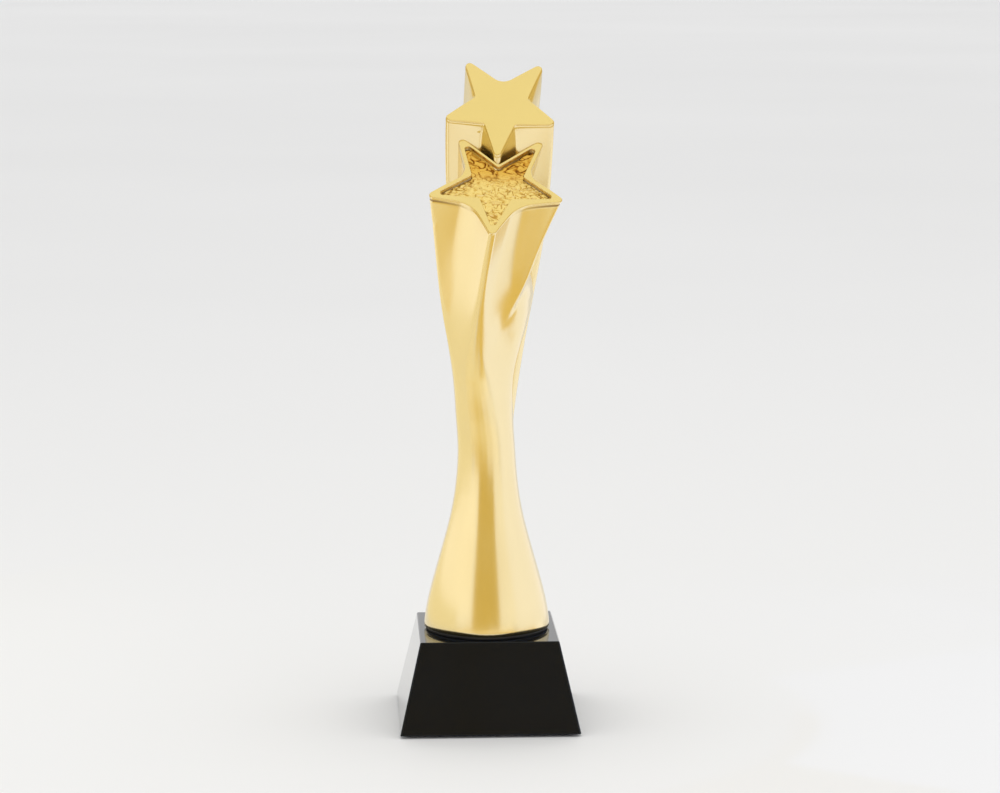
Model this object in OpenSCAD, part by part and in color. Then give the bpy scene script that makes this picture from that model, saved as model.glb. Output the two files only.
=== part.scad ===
// Star trophy: two gold star pillars that grow out of one waisted column,
// clamped by a stud to a black crystal block.
// Millimetres. The block stands on z = 0, the front looks along -Y.

/* [Base] */
// Width of the crystal block at its bottom
base_bottom_w = 80; // [74:1:100]
// Width of the crystal block at its top
base_top_w = 61.5; // [60:0.5:70]
// Height of the crystal block
base_h = 40; // [34:1:60]
// Width of the polished chamfer along the block's edges
base_chamfer = 0.4; // [0.2:0.1:1.5]
// Thickness of the felt pad under the block
pad_t = 1; // [0.5:0.1:2]
// Distance from the block's bottom edge to the pad's edge
pad_inset = 4; // [2:0.5:8]
// Radius of the pad's corners
pad_corner_r = 4; // [2:0.5:10]

/* [Column] */
// Radius of the foot, measured to its soft corners
foot_r = 28.4; // [27:0.2:30]
// Radius of the waist
waist_r = 13.1; // [12:0.1:16]
// Height of the waist above the foot's underside
waist_h = 81; // [70:1:90]
// How far the flats of the five-sided foot lie inside its corners, as a share of the radius
foot_flat = 0.02; // [0:0.01:0.14]
// Turn of the figure on its stud, in degrees
figure_turn = -4; // [-10:1:10]
// Lean of both pillars towards +X, in degrees
head_lean = 2.3; // [0:0.1:4]

/* [Stars] */
// Radius of the inner corners of a star with sharp points, as a share of its outer radius
star_ratio = 0.42; // [0.39:0.01:0.47]
// Radius of the rounded points of the stars
tip_round = 1.8; // [1:0.1:2.5]
// Radius of the fillet in a crisp valley between two points
crisp_valley = 1.5; // [0.8:0.1:3]
// Radius of the fillet in the front pillar's soft valleys
soft_valley = 9; // [4:0.5:10]
// Turn of each star on its face, clockwise from the front, in degrees
star_spin = 3; // [0:0.5:6]
// Width of the small bevel round each star face
face_bevel = 0.5; // [0.2:0.1:0.8]

/* [Front star] */
// Radius of the front star
front_star_r = 30.6; // [28:0.2:34]
// Radius of the front star's back notch, as a share of its outer radius
front_notch = 0.31; // [0.28:0.01:0.42]
// Height of the front star's centre above the foot's underside
front_star_h = 200; // [188:1:206]
// Tilt of the front star's face from level, in degrees
front_tilt = 42; // [34:0.5:48]
// How far the front star's centre stands in front of the column's axis
front_reach = 8.5; // [6:0.5:11]
// How far the front pillar bows towards -X on its way up
front_sway = 5; // [0:0.5:7]
// How far the front pillar's right ridge draws in on its way up, as a share of its radius
ridge_draw = 0.33; // [0:0.01:0.4]
// How much rounder the front pillar is in its front valleys
front_fill = 0.2; // [0:0.05:0.3]
// Width of the raised rim round the recess
rim_w = 2; // [1.6:0.1:3]
// Depth of the recess below the rim
recess_depth = 3; // [2.2:0.1:3.5]
// Thickness of the hammered star panel
panel_t = 1; // [0.8:0.1:1.6]

/* [Rear star] */
// Radius of the rear star
rear_star_r = 26; // [24:0.2:28]
// Height of the rear star's centre above the foot's underside
rear_star_h = 232; // [224:0.5:240]
// Tilt of the rear star's face from level, in degrees
rear_tilt = 54; // [48:1:60]
// Length of the rear star along its slope, as a share of its width
rear_stretch = 1.02; // [1:0.01:1.12]
// How far the rear star's upper arms spread apart, as a share of its width
rear_flare = 0.1; // [0:0.01:0.15]
// Radius of the rear star's back notch, as a share of its outer radius
rear_notch = 0.38; // [0.34:0.01:0.42]
// Radius of the fillet in the rear star's back notch
rear_notch_round = 6; // [1.5:0.5:7]
// Distance from the front star's back notch to the rear star's front tip
notch_gap = 1.6; // [1.2:0.1:4]
// How much of its star the rear pillar keeps below the lip of its face
rear_star_share = 0.88; // [0.8:0.01:0.95]
// How far the rear pillar twists just below its star, in degrees
rear_twist = 7; // [0:0.5:9]

/* [Dowels] */
// Diameter of the dowels between the two castings
dowel_d = 4; // [3:0.5:5]
// Length of each dowel
dowel_len = 15; // [12:0.5:18]
// How far each dowel reaches into the rear casting
dowel_in_rear = 6; // [4:0.5:7]
// Height of the lower dowel above the foot's underside
dowel_low_h = 144; // [140:1:148]
// Height of the upper dowel above the foot's underside
dowel_high_h = 164; // [160:1:166]

/* [Fastening] */
// Thickness of the gasket between foot and block
gasket_t = 1.6; // [1:0.1:3]
// Distance from the foot's edge to the gasket's edge
gasket_inset = 0.8; // [0.4:0.1:2]
// Outer diameter of the stud's thread
stud_d = 8; // [6:1:10]
// Diameter of the hole through the block
block_hole_d = 11; // [10.6:0.2:13]
// Diameter of the counterbore for the nut
counterbore_d = 28; // [27:0.5:34]
// Depth of the counterbore
counterbore_h = 17; // [15:1:20]
// Outer diameter of the threaded insert's body
insert_d = 13; // [12:0.5:15]
// Length of the threaded insert
insert_len = 26; // [20:1:34]
// Diameter of the insert's flange
flange_d = 17; // [16:0.5:20]
// Thickness of the insert's flange
flange_t = 2; // [1.5:0.1:3]
// Outer diameter of the fibre washer
fibre_d = 26; // [22:0.5:26.5]
// Thickness of the fibre washer
fibre_t = 1.5; // [1:0.1:2]
// Outer diameter of the steel washer
washer_d = 24; // [20:0.5:26]
// Thickness of the steel washer
washer_t = 1.6; // [1.2:0.1:2]
// Outer diameter of the spring washer
spring_d = 14.8; // [14:0.2:16]
// Thickness of the spring washer
spring_t = 2; // [1.6:0.1:2.4]
// Width of the nut across its flats
nut_w = 13; // [13:0.5:17]
// Height of the nut
nut_h = 6.5; // [5:0.5:8]
// Radial clearance between a thread, pin or insert and its hole
fit_gap = 0.1; // [0.05:0.05:0.2]
// Clearance between the star panel and the wall of its recess
panel_gap = 0.15; // [0.1:0.05:0.3]

/* [Hidden] */
$fn = 64;

gold = [0.93, 0.78, 0.38];
deep_gold = [0.86, 0.63, 0.22];
steel = [0.62, 0.63, 0.65];
brass = [0.72, 0.56, 0.28];
black_crystal = [0.10, 0.10, 0.11];
black_rubber = [0.06, 0.06, 0.06];
grey_felt = [0.25, 0.25, 0.27];
red_fibre = [0.45, 0.16, 0.12];

// Levels, from the floor up
block_z = pad_t;
block_top_z = block_z + base_h;
foot_z = block_top_z + gasket_t;
waist_z = foot_z + waist_h;
front_star_z = foot_z + front_star_h;
rear_star_z = foot_z + rear_star_h;

// The nut's stack hangs from the counterbore's ceiling
ceiling_z = block_z + counterbore_h;
fibre_z = ceiling_z - fibre_t;
washer_z = fibre_z - washer_t;
spring_z = washer_z - spring_t;
nut_z = spring_z - nut_h;
stud_below_nut = 2;
stud_short_of_insert = 3;
stud_bottom_z = nut_z - stud_below_nut;
stud_top_z = foot_z + insert_len - stud_short_of_insert;

// How far a cut runs past the face it leaves
cut_past = 1;

// Counts of points and rings
points = 5;
first_arm = 270;
half_turn = 180 / points;
back_notch = 3;
tip_points = 5;
valley_points = 3;
edge_points = 3;
points_per_arm = valley_points + tip_points + 2 * edge_points;
foot_rings = 13;
pillar_rings = 18;
rear_rings = 18;

// Powers by which the round section turns into a star up a pillar, and in the lip below the rear face
star_growth = 0.75;
lip_growth = 50;
// Power by which the rear pillar's rings crowd together towards its face
ring_crowding = 1.5;
// Sines of the bearings between which a front valley's fill sets in
fill_from = 0.2;
fill_to = -0.6;
// Share of the rear pillar's length above which it twists
twist_start = 0.6;
// How far the rear pillar's lower end lies inside the waist
rear_hidden = 2;
// How far its hidden side draws in, and the shares of its length where that fades out
hidden_draw = 0.45;
hidden_start = 0.3;
hidden_end = 0.62;
// Share of the front pillar's length over which its right ridge draws in
draw_end = 0.76;
right_arm = first_arm + 2 * half_turn;

function clamp01(t) = max(0, min(1, t));
function ease(from, to, x) =
    let (t = clamp01((x - from) / (to - from)))
    t * t * (3 - 2 * t);
function mix(a, b, t) = a + (b - a) * t;

// The angle between a valley's axis and the edges that rise from it
function flank(ratio) = half_turn + atan2(ratio * sin(half_turn), 1 - ratio * cos(half_turn));
// Half the angle of a star point, and the distance of a star's edges from its centre
tip_half_angle = flank(star_ratio) - half_turn;
tip_cut = tip_round * (1 / sin(tip_half_angle) - 1);
function edge_distance(r) = (r + tip_cut) * sin(tip_half_angle);
// A star whose edges lie w further in is the same star at a smaller scale
function inset_scale(r, w) = 1 - w / edge_distance(r);

function arc_point(centre, axis, radius, turn) =
    centre * [cos(axis), sin(axis)] + radius * [cos(axis + turn), sin(axis + turn)];

// One point of the star: the valley before it, then the rounded tip
function arm_corners(r, axis, ratio, valley_round) =
    let (
        sharp = r + tip_cut,
        tip_centre = sharp - tip_round / sin(tip_half_angle),
        tip_span = 90 - tip_half_angle,
        valley_centre = sharp * ratio + valley_round / sin(flank(ratio)),
        valley_span = 90 - flank(ratio)
    )
    concat(
        [for (k = [0:valley_points - 1])
            arc_point(valley_centre, axis - half_turn, valley_round,
                180 + valley_span * (1 - 2 * k / (valley_points - 1)))],
        [for (k = [0:tip_points - 1])
            arc_point(tip_centre, axis, tip_round, tip_span * (2 * k / (tip_points - 1) - 1))]
    );

// Straight edges are divided, so that they can bend as the section turns round
function divided(corners) =
    let (n = len(corners), corners_per_arm = valley_points + tip_points)
    [for (k = [0:n - 1])
        let (
            a = corners[k],
            b = corners[(k + 1) % n],
            place = k % corners_per_arm,
            straight = place == valley_points - 1 || place == corners_per_arm - 1,
            steps = straight ? edge_points + 1 : 1
        )
        for (s = [0:steps - 1]) mix(a, b, s / steps)];

// The notch at the back has its own depth and fillet
function star_outline(r, valley_round, notch, notch_round) =
    divided([for (i = [0:points - 1])
        let (back = i == back_notch)
        each arm_corners(r, first_arm + 2 * half_turn * i,
            back ? notch : star_ratio, back ? notch_round : valley_round)]);
function front_outline(r, valley_round = soft_valley) =
    star_outline(r, valley_round, front_notch, crisp_valley);
function rear_outline(r) = star_outline(r, crisp_valley, rear_notch, rear_notch_round);

// The soft five-sided section of the foot and waist, at the same angle as point p
function round_point(p, r) =
    let (angle = atan2(p[1], p[0]), sag = foot_flat * (1 - cos(points * (angle - first_arm))) / 2)
    r * (1 - sag) * [cos(angle), sin(angle)];

// Section of a pillar: round at star = 0 and the given star outline at star = 1
function section(outline, r, star, fill = 0) =
    [for (p = outline)
        let (front = ease(fill_from, fill_to, p[1] / norm(p)))
        mix(round_point(p, r), p, star * (1 - fill * front))];

// Draws in the part of a section round one of its ridges
function drawn_in(outline, arm, share) =
    [for (p = outline)
        let (near = max(0, cos(atan2(p[1], p[0]) - arm)))
        p * (1 - share * near * near)];

// Spreads the arms at the back of an outline apart
function flared(outline, r, share) =
    [for (p = outline) [p[0] * (1 + share * p[1] / r), p[1]]];

// Lays a flat outline, spun clockwise and stretched up the slope, in a plane tilted back
function laid(outline, centre, tilt, spin = 0, depth = 0, stretch = 1) =
    [for (p = outline)
        let (
            across = p[0] * cos(spin) + p[1] * sin(spin),
            up = (p[1] * cos(spin) - p[0] * sin(spin)) * stretch
        )
        centre + [across, up * cos(tilt) + depth * sin(tilt), up * sin(tilt) - depth * cos(tilt)]];

function scaled(outline, by) = [for (p = outline) p * by];

// Foot and waist: rings from the underside to the waist
function foot_radius(t) = mix(waist_r, foot_r, (1 + cos(180 * pow(t, 0.8))) / 2);
function foot_outline(r) = section(front_outline(r), r, 0);
function foot_ring(t) = laid(foot_outline(foot_radius(t)), [0, 0, foot_z + t * waist_h], 0);

// Front pillar: t runs from the waist to the star's face
front_len = front_star_z - waist_z;
function front_centre(t) = [
    t * front_len * tan(head_lean) - front_sway * sin(180 * t),
    -front_reach * pow(t, 1.5),
    waist_z + t * front_len
];
function front_radius(t) = mix(waist_r, front_star_r, t * t);
function front_draw(t) =
    t < draw_end ? ridge_draw * pow(sin(180 * t / draw_end), 3) : 0;
function front_ring(t) =
    let (r = front_radius(t))
    laid(
        drawn_in(
            section(front_outline(r), r, pow(t, star_growth), front_fill),
            right_arm, front_draw(t)
        ),
        front_centre(t), front_tilt * ease(0, 1, t), star_spin * ease(0, 1, t)
    );
// A ring parallel to the front star's face, set in from its edges and at a depth below it
function front_face_ring(outline, inset, depth) =
    laid(
        scaled(outline, inset_scale(front_star_r, inset)),
        front_centre(1), front_tilt, star_spin, depth
    );
panel_outline = front_outline(front_star_r, crisp_valley);
rim_outline = section(front_outline(front_star_r), front_star_r, 1, front_fill);

// Rear pillar: t runs from inside the waist to the star's face, whose tip clears the front notch
rear_len = rear_star_z - waist_z;
notch_r = (front_star_r + tip_cut) * front_notch
    + crisp_valley * (1 / sin(flank(front_notch)) - 1);
rear_reach = notch_r * cos(front_tilt) - front_reach
    + rear_star_r * rear_stretch * cos(rear_tilt) + notch_gap;
function rear_centre(t) = [
    t * rear_len * tan(head_lean),
    rear_reach * t * (2 - t),
    waist_z + t * rear_len
];
function rear_radius(t) =
    mix(waist_r - rear_hidden, rear_star_r, pow(sin(90 * t), 1.5));
function rear_star(t) = mix(pow(t, lip_growth), pow(t, star_growth), rear_star_share);
function rear_spin(t) = star_spin - rear_twist * (1 - ease(twist_start, 1, t));
// Low down, the side that faces the front pillar draws in and stays hidden behind it
function rear_draw(t) = hidden_draw * (1 - ease(hidden_start, hidden_end, t));
function rear_ring(t) =
    let (r = rear_radius(t), turned = ease(0, 1, t))
    laid(
        flared(
            drawn_in(
                section(rear_outline(r), r, rear_star(t)),
                first_arm, rear_draw(t)
            ),
            r, rear_flare * turned
        ),
        rear_centre(t), rear_tilt * turned, rear_spin(t), 0, mix(1, rear_stretch, turned)
    );
function rear_face_ring(inset) =
    laid(
        flared(
            scaled(rear_outline(rear_star_r), inset_scale(rear_star_r, inset)),
            rear_star_r, rear_flare
        ),
        rear_centre(1), rear_tilt, star_spin, 0, rear_stretch
    );

function middle(ring) =
    let (n = len(ring), ones = [for (p = ring) 1])
    ones * ring / n;

// Closed skin through rings that run upwards, each with the same number of points
module loft(rings) {
    n = len(rings[0]);
    last = len(rings) - 1;
    bottom = n * len(rings);
    polyhedron(
        points = concat([for (ring = rings) each ring], [middle(rings[0]), middle(rings[last])]),
        faces = concat(
            [for (k = [0:last - 1], j = [0:n - 1])
                let (a = k * n + j, b = k * n + (j + 1) % n)
                each [[a, b + n, b], [a, a + n, b + n]]],
            [for (j = [0:n - 1]) [bottom, j, (j + 1) % n]],
            [for (j = [0:n - 1]) [bottom + 1, last * n + (j + 1) % n, last * n + j]]
        )
    );
}

module on_figure() {
    rotate([0, 0, figure_turn]) children();
}

// Rings of the front pillar above the waist, then of its rim and recess
function front_rings() = concat(
    [for (k = [1:pillar_rings - 1]) front_ring(k / pillar_rings)],
    [
        front_ring(1 - face_bevel / front_len),
        front_face_ring(rim_outline, face_bevel, 0),
        front_face_ring(panel_outline, rim_w - face_bevel / 2, 0),
        front_face_ring(panel_outline, rim_w, face_bevel / 2),
        front_face_ring(panel_outline, rim_w, recess_depth)
    ]
);

module column_skin() {
    loft(concat(
        [laid(foot_outline(foot_r - face_bevel), [0, 0, foot_z], 0)],
        [for (k = [0:foot_rings - 1]) foot_ring(max(face_bevel / waist_h, k / foot_rings))],
        [front_ring(0)],
        front_rings()
    ));
}

module rear_skin() {
    loft(concat(
        [for (k = [0:rear_rings - 1]) rear_ring(1 - pow(1 - k / rear_rings, ring_crowding))],
        [rear_ring(1 - face_bevel / rear_len), rear_face_ring(face_bevel)]
    ));
}

// The seam between the castings runs up the front pillar's back notch
notch_point = back_notch * points_per_arm + floor(valley_points / 2);
seam = [for (k = [0:pillar_rings]) front_ring(k / pillar_rings)[notch_point]];
function seam_at(z) = [
    lookup(z, [for (p = seam) [p[2], p[0]]]),
    lookup(z, [for (p = seam) [p[2], p[1]]]),
    z
];

// The dowels, or their holes with a gap all round
module dowels(gap) {
    for (height = [dowel_low_h, dowel_high_h])
        translate(seam_at(foot_z + height) + [0, dowel_in_rear + gap, 0])
            rotate([90, 0, 0])
                cylinder(d = dowel_d + 2 * gap, h = dowel_len + 2 * gap);
}

module star_column() {
    color(gold) on_figure() difference() {
        column_skin();
        dowels(fit_gap);
        translate([0, 0, foot_z - cut_past])
            cylinder(d = insert_d + 2 * fit_gap, h = insert_len + cut_past + fit_gap);
        translate([0, 0, foot_z - cut_past])
            cylinder(d = flange_d + 2 * fit_gap, h = flange_t + cut_past);
    }
}

module rear_star_column() {
    color(gold) on_figure() difference() {
        rear_skin();
        column_skin();
        dowels(fit_gap);
    }
}

module star_panel() {
    inset = rim_w + panel_gap;
    color(deep_gold) on_figure()
        translate(front_centre(1))
            rotate([front_tilt, 0, 0])
                rotate([0, 0, -star_spin])
                    translate([0, 0, -recess_depth])
                        linear_extrude(height = panel_t)
                            polygon(scaled(panel_outline, inset_scale(front_star_r, inset)));
}

module column_dowels() {
    color(steel) on_figure() dowels(0);
}

// Barbed insert: two grooves round its body lock it in the casting
module threaded_insert() {
    groove_w = 3;
    groove_depth = 0.8;
    grooves = 2;
    body_r = insert_d / 2;
    bore_r = stud_d / 2 + fit_gap;
    land = (insert_len - flange_t - grooves * groove_w) / (grooves + 1);
    rings = [for (k = [0:grooves - 1])
        let (z = flange_t + land + k * (land + groove_w))
        each [[body_r, z], [body_r - groove_depth, z], [body_r - groove_depth, z + groove_w],
            [body_r, z + groove_w]]];
    color(brass) translate([0, 0, foot_z])
        rotate_extrude()
            polygon(concat(
                [[bore_r, 0], [flange_d / 2, 0], [flange_d / 2, flange_t], [body_r, flange_t]],
                rings,
                [[body_r, insert_len], [bore_r, insert_len]]
            ));
}

module foot_gasket() {
    by = 1 - gasket_inset / foot_r;
    color(black_rubber) on_figure() translate([0, 0, block_top_z])
        difference() {
            linear_extrude(height = gasket_t)
                polygon(scaled(foot_outline(foot_r), by));
            translate([0, 0, -cut_past])
                cylinder(d = block_hole_d, h = gasket_t + 2 * cut_past);
        }
}

// Outline of the block seen from one side, chamfered along its top and bottom edges
function block_side(z) = mix(base_bottom_w, base_top_w, z / base_h) / 2;
function block_profile() =
    let (c = base_chamfer, right = [
        [block_side(0) - c, 0], [block_side(c), c],
        [block_side(base_h - c), base_h - c], [block_side(base_h) - c, base_h]
    ])
    concat(right, [for (k = [3:-1:0]) [-right[k][0], right[k][1]]]);
// The same outline across the corners, which trims the four slanted edges
function corner_profile() =
    let (
        low = sqrt(2) * block_side(0) - base_chamfer,
        high = sqrt(2) * block_side(base_h) - base_chamfer
    )
    [[-low, 0], [low, 0], [high, base_h], [-high, base_h]];

module upright(profile, turn) {
    rotate([90, 0, turn])
        linear_extrude(height = 2 * base_bottom_w, center = true)
            polygon(profile);
}

module base_block() {
    color(black_crystal) translate([0, 0, block_z]) difference() {
        intersection() {
            upright(block_profile(), 0);
            upright(block_profile(), 90);
            upright(corner_profile(), 45);
            upright(corner_profile(), -45);
        }
        translate([0, 0, -cut_past])
            cylinder(d = block_hole_d, h = base_h + 2 * cut_past);
        translate([0, 0, -cut_past])
            cylinder(d = counterbore_d, h = counterbore_h + cut_past);
    }
}

module clamp_stud() {
    r = stud_d / 2;
    bevel = stud_d / 8;
    len = stud_top_z - stud_bottom_z;
    color(steel) translate([0, 0, stud_bottom_z])
        rotate_extrude()
            polygon([[0, 0], [r - bevel, 0], [r, bevel], [r, len - bevel], [r - bevel, len], [0, len]]);
}

module washer(z, outer_d, t) {
    translate([0, 0, z]) difference() {
        cylinder(d = outer_d, h = t);
        translate([0, 0, -cut_past])
            cylinder(d = stud_d + 4 * fit_gap, h = t + 2 * cut_past);
    }
}

module fibre_washer() {
    color(red_fibre) washer(fibre_z, fibre_d, fibre_t);
}

module steel_washer() {
    color(steel) washer(washer_z, washer_d, washer_t);
}

// Lock washer, pressed flat, with its split
module spring_washer() {
    split = 12;
    inner_r = stud_d / 2 + 2 * fit_gap;
    color(steel) translate([0, 0, spring_z])
        rotate_extrude(angle = 360 - split)
            translate([inner_r, 0])
                square([spring_d / 2 - inner_r, spring_t]);
}

// Hexagon nut with its corners turned off at both ends
module hex_nut() {
    corner_r = nut_w / sqrt(3);
    turned = nut_w / 2;
    bevel = (corner_r - turned) * tan(30);
    color(steel) translate([0, 0, nut_z]) difference() {
        intersection() {
            cylinder(r = corner_r, h = nut_h, $fn = 6);
            rotate_extrude()
                polygon([[0, 0], [turned, 0], [corner_r, bevel], [corner_r, nut_h - bevel],
                    [turned, nut_h], [0, nut_h]]);
        }
        translate([0, 0, -cut_past])
            cylinder(d = stud_d + 2 * fit_gap, h = nut_h + 2 * cut_past);
    }
}

module base_pad() {
    w = base_bottom_w - 2 * pad_inset;
    color(grey_felt) linear_extrude(height = pad_t) {
        square([w - 2 * pad_corner_r, w], center = true);
        square([w, w - 2 * pad_corner_r], center = true);
        for (x = [-1, 1], y = [-1, 1])
            translate([x, y] * (w / 2 - pad_corner_r)) circle(r = pad_corner_r);
    }
}

star_column();
rear_star_column();
star_panel();
column_dowels();
threaded_insert();
foot_gasket();
base_block();
clamp_stud();
fibre_washer();
steel_washer();
spring_washer();
hex_nut();
base_pad();
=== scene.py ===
# %% [markdown]
# # A star trophy on a black crystal block
#
# Two gilt pillars rise from one foot and open into two tilted stars. The solids come from the
# construction file, in metres, and this lesson dresses them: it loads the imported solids, keeps
# the ones whose shape is already right, and models finer pieces over the castings, the pressed
# panel, the gasket and the felt. Nothing here moves, so every piece rides on the one body.

# %% Load the frame
from math import atan2, cos, degrees, exp, pi, radians, sin, tan

import bmesh
import bpy
from mathutils import Matrix, Vector, noise
from mathutils.bvhtree import BVHTree


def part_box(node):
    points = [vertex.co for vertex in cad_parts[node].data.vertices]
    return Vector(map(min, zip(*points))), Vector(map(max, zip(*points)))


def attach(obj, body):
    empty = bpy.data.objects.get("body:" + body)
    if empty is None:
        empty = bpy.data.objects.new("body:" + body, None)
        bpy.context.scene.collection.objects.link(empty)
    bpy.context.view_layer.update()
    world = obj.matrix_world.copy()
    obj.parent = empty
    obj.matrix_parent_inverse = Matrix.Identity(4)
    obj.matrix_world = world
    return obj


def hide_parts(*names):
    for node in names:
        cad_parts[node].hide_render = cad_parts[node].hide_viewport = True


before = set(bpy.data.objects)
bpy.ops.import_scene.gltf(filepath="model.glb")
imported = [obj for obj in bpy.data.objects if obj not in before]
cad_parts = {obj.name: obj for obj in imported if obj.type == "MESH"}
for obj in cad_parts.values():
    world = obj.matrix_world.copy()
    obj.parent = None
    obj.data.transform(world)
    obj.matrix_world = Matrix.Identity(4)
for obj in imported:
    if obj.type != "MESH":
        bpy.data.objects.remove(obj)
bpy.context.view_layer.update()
MM = 0.001


def in_mm(point):
    """The coordinates of a point in millimetres, for reading."""
    return [round(c / MM, 1) for c in point]


print("nodes:", ", ".join(sorted(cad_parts)))

# %% [markdown]
# ## The star outline
#
# Every section of the casting is the same five-pointed star, only rounder low down. A star could
# be drawn point by point, but two radii and two fillets say all there is to say: the tips and the
# valleys are arcs, and straight edges join them. A fixed count of points on each arc and each edge
# lets one section flow into the next without twisting.

# %% Angles and rounds of the star
ARMS = 5
ARM_STEP = 2 * pi / ARMS
HALF_STEP = ARM_STEP / 2
FRONT_ARM = -pi / 2
BACK_NOTCH = 3
VALLEY_RATIO = 0.42
TIP_ROUND = 1.8 * MM
CRISP_VALLEY = 1.5 * MM
SOFT_VALLEY = 9 * MM


def flank_angle(ratio):
    """The angle between a valley's axis and the edges that rise from it."""
    return HALF_STEP + atan2(ratio * sin(HALF_STEP), 1 - ratio * cos(HALF_STEP))


TIP_HALF_ANGLE = flank_angle(VALLEY_RATIO) - HALF_STEP
TIP_CUT = TIP_ROUND * (1 / sin(TIP_HALF_ANGLE) - 1)
print("a tip's round takes off", round(TIP_CUT / MM, 2), "mm")

# %% Star outline
ARC_STEPS = 8
EDGE_STEPS = 10


def ray(angle, length=1.0):
    """A flat vector in a direction."""
    return Vector((length * cos(angle), length * sin(angle)))


def arc(centre, axis, radius, start, end):
    """Points on an arc whose centre lies some way out along an axis."""
    turns = [start + (end - start) * k / ARC_STEPS for k in range(ARC_STEPS + 1)]
    return [ray(axis, centre) + ray(axis + turn, radius) for turn in turns]


def edge(start, end):
    """The points between two ends of an edge, without the ends."""
    return [start.lerp(end, k / EDGE_STEPS) for k in range(1, EDGE_STEPS)]


def star_outline(tip_radius, valley_round, notch_ratio, notch_round):
    """The points of a star, arm by arm: a valley arc, an edge, a tip arc, an edge."""
    sharp = tip_radius + TIP_CUT
    tip_centre = sharp - TIP_ROUND / sin(TIP_HALF_ANGLE)
    tip_span = pi / 2 - TIP_HALF_ANGLE
    valleys, tips = [], []
    for arm in range(ARMS):
        axis = FRONT_ARM + arm * ARM_STEP
        ratio, bend = VALLEY_RATIO, valley_round
        if arm == BACK_NOTCH:
            ratio, bend = notch_ratio, notch_round
        flank = flank_angle(ratio)
        valley_centre = sharp * ratio + bend / sin(flank)
        span = pi / 2 - flank
        valleys.append(arc(valley_centre, axis - HALF_STEP, bend, pi + span, pi - span))
        tips.append(arc(tip_centre, axis, TIP_ROUND, -tip_span, tip_span))
    outline = []
    for arm in range(ARMS):
        valley, tip, following = valleys[arm], tips[arm], valleys[(arm + 1) % ARMS]
        outline += valley + edge(valley[-1], tip[0]) + tip + edge(tip[-1], following[0])
    return outline


def inset_scale(tip_radius, inset):
    """How much a star shrinks when its edges move inwards by a set distance."""
    return 1 - inset / ((tip_radius + TIP_CUT) * sin(TIP_HALF_ANGLE))


print("points on one star:", ARMS * 2 * (ARC_STEPS + EDGE_STEPS))

# %% [markdown]
# ## Sections of the two pillars
#
# A section is a star softened towards a circle, sometimes drawn in on one side where the other
# pillar passes, and then laid down in space: tilted, spun and moved. These few helpers are the
# whole grammar of the casting.

# %% Small helpers


def ease(start, end, x):
    """0 before the start, 1 after the end, and a smooth step between them."""
    t = min(1.0, max(0.0, (x - start) / (end - start)))
    return t * t * (3 - 2 * t)


def mix(a, b, share):
    """The value that lies a share of the way from a to b."""
    return a + (b - a) * share


def bearing(p):
    """The direction in which a point lies from the axis."""
    return atan2(p.y, p.x)


print("a quarter of the way, a smooth step is at", ease(0, 1, 0.25))

# %% Section helpers
FOOT_FLAT = 0.02
FILL_FROM, FILL_TO = 0.2, -0.6


def rounded(p, radius):
    """The point of a faintly five-sided circle in the direction of p."""
    sag = FOOT_FLAT * (1 - cos(ARMS * (bearing(p) - FRONT_ARM))) / 2
    return ray(bearing(p), radius * (1 - sag))


def section(outline, radius, star_share, front_fill=0.0):
    """A star softened towards a circle, with its front valleys filled a little more."""
    points = []
    for p in outline:
        fill = front_fill * ease(FILL_FROM, FILL_TO, sin(bearing(p)))
        points.append(rounded(p, radius).lerp(p, star_share * (1 - fill)))
    return points


def drawn_in(outline, arm, share):
    """Draws an outline in on the side of one arm."""
    return [p * (1 - share * max(0.0, cos(bearing(p) - arm)) ** 2) for p in outline]


def flared(outline, radius, share):
    """Spreads the arms at the back of an outline apart."""
    return [Vector((p.x * (1 + share * p.y / radius), p.y)) for p in outline]


def laid(outline, centre, tilt, spin=0.0, depth=0.0, stretch=1.0):
    """Places a flat outline in space: spun in its own plane, then tipped back by tilt."""
    ring = []
    for p in outline:
        across = p.x * cos(spin) + p.y * sin(spin)
        up = (p.y * cos(spin) - p.x * sin(spin)) * stretch
        back = up * cos(tilt) + depth * sin(tilt)
        rise = up * sin(tilt) - depth * cos(tilt)
        ring.append(centre + Vector((across, back, rise)))
    return ring


print("the foot's flats lie", round(100 * FOOT_FLAT), "% inside its round")

# %% [markdown]
# ## The foot and the front pillar
#
# Below the waist the casting is a plain bell. Above it the star grows out of the round, while the
# pillar reaches forward and its face tips up. It could be sculpted by eye, but then no size could
# be changed later. Here each height has its own section, worked out from a handful of sizes, and a
# change of one of them carries through the whole casting.

# %% The foot
FIGURE_TURN = radians(-4)
FOOT_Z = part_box("star_column")[0].z
FOOT_R = 28.4 * MM
FOOT_FLOW = 0.8
WAIST_R = 13.1 * MM
WAIST_H = 81 * MM
WAIST_Z = FOOT_Z + WAIST_H
FRONT_NOTCH = 0.31


def front_outline(radius, valley_round=SOFT_VALLEY):
    """The front star, with its deeper notch at the back."""
    return star_outline(radius, valley_round, FRONT_NOTCH, CRISP_VALLEY)


def foot_ring(share):
    """A section between the foot, at 0, and the waist, at 1."""
    radius = mix(WAIST_R, FOOT_R, (1 + cos(pi * share**FOOT_FLOW)) / 2)
    outline = section(front_outline(radius), radius, 0)
    return laid(outline, Vector((0, 0, FOOT_Z + share * WAIST_H)), 0)


print("waist at", round(WAIST_Z / MM, 1), "mm")

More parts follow.
